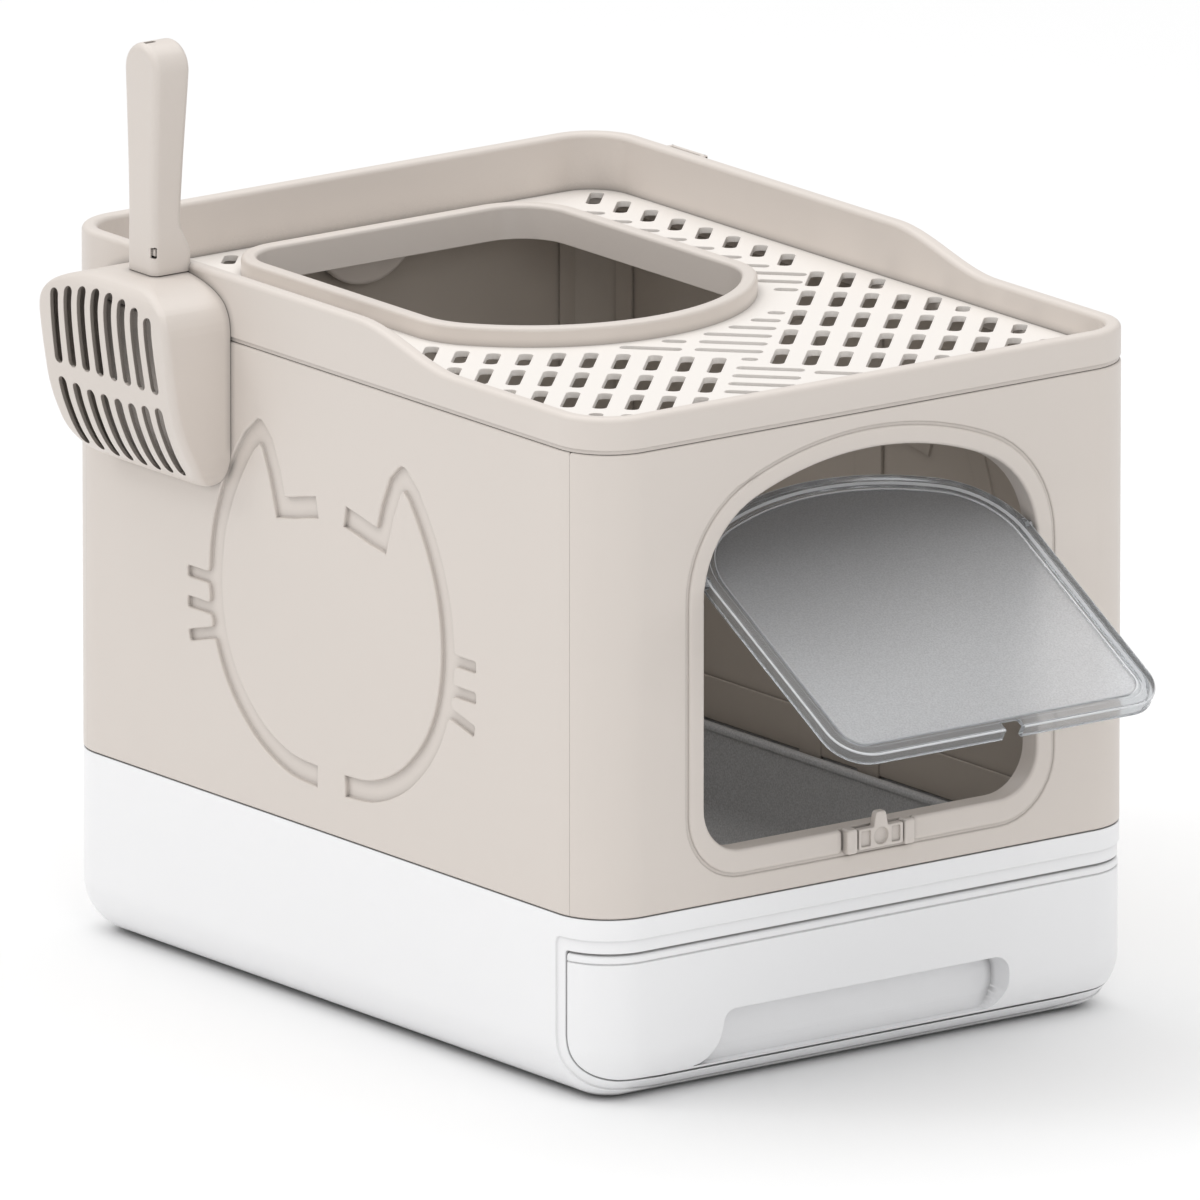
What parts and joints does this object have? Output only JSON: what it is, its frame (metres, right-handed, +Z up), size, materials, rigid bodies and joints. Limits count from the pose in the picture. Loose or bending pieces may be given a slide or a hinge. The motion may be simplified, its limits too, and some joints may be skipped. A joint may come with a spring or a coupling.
{
  "type": "drawer litter box",
  "caption": "Enclosed litter box with a pull-out drawer and pan, a top opening with a perforated deck, a hinged see-through flap with a sliding latch and a scoop that hangs on its side.",
  "frame": {"origin": "on the floor, under the middle of the housing's footprint", "axes": "+Z up, -Y towards the flap and the drawer's front, -X towards the side with the scoop"},
  "size_m": [0.4309, 0.6283, 0.534],
  "materials": {
    "beige_panel": "satin warm greige moulded plastic",
    "beige_trim": "satin warm greige moulded plastic, small parts",
    "light_deck": "matt off-white greige moulded plastic",
    "white_gloss": "satin white moulded plastic",
    "grey_pan": "fine-grained dark grey moulded plastic",
    "clear_rim": "clear polished acrylic",
    "smoky_pane": "frosted smoky grey acrylic",
    "charcoal": "black charcoal felt"
  },
  "bodies": {
    "housing": {"base_tray": "white_gloss", "front_panel": "beige_panel", "rear_panel": "beige_panel", "left_panel": "beige_panel", "right_panel": "beige_panel", "door_frame": "beige_trim", "latch_guides": "beige_trim", "deodoriser_case": "beige_trim", "deodoriser_cover": "beige_trim", "charcoal_pad": "charcoal"},
    "drawer": {"drawer_front": "white_gloss", "drawer_pan": "grey_pan"},
    "flap": {"flap_frame": "clear_rim", "flap_window": "smoky_pane"},
    "latch": {"latch_slider": "beige_trim"},
    "lid": {"lid_rim": "beige_panel", "lid_deck": "light_deck", "lid_collar": "beige_trim", "scoop_hanger_left": "beige_trim", "scoop_hanger_right": "beige_trim"},
    "scoop": {"scoop_basket": "beige_trim", "scoop_handle": "beige_trim"}
  },
  "joints": [
    {"name": "drawer_slide", "type": "slide", "parent": "housing", "child": "drawer", "axis": [0, -1, 0], "range_m": [0, 0.4]},
    {"name": "flap_hinge", "type": "hinge", "parent": "housing", "child": "flap", "pos_m": [0, -0.245, 0.288], "axis": [1, 0, 0], "range_deg": [-25, 120]},
    {"name": "latch_slide", "type": "slide", "parent": "housing", "child": "latch", "axis": [0, 0, 1], "range_m": [0, 0.005]},
    {"name": "lid_lift", "type": "slide", "parent": "housing", "child": "lid", "axis": [0, 0, 1], "range_m": [0, 0.1]},
    {"name": "scoop_lift", "type": "slide", "parent": "lid", "child": "scoop", "axis": [0, 0, 1], "range_m": [0, 0.1]}
  ]
}
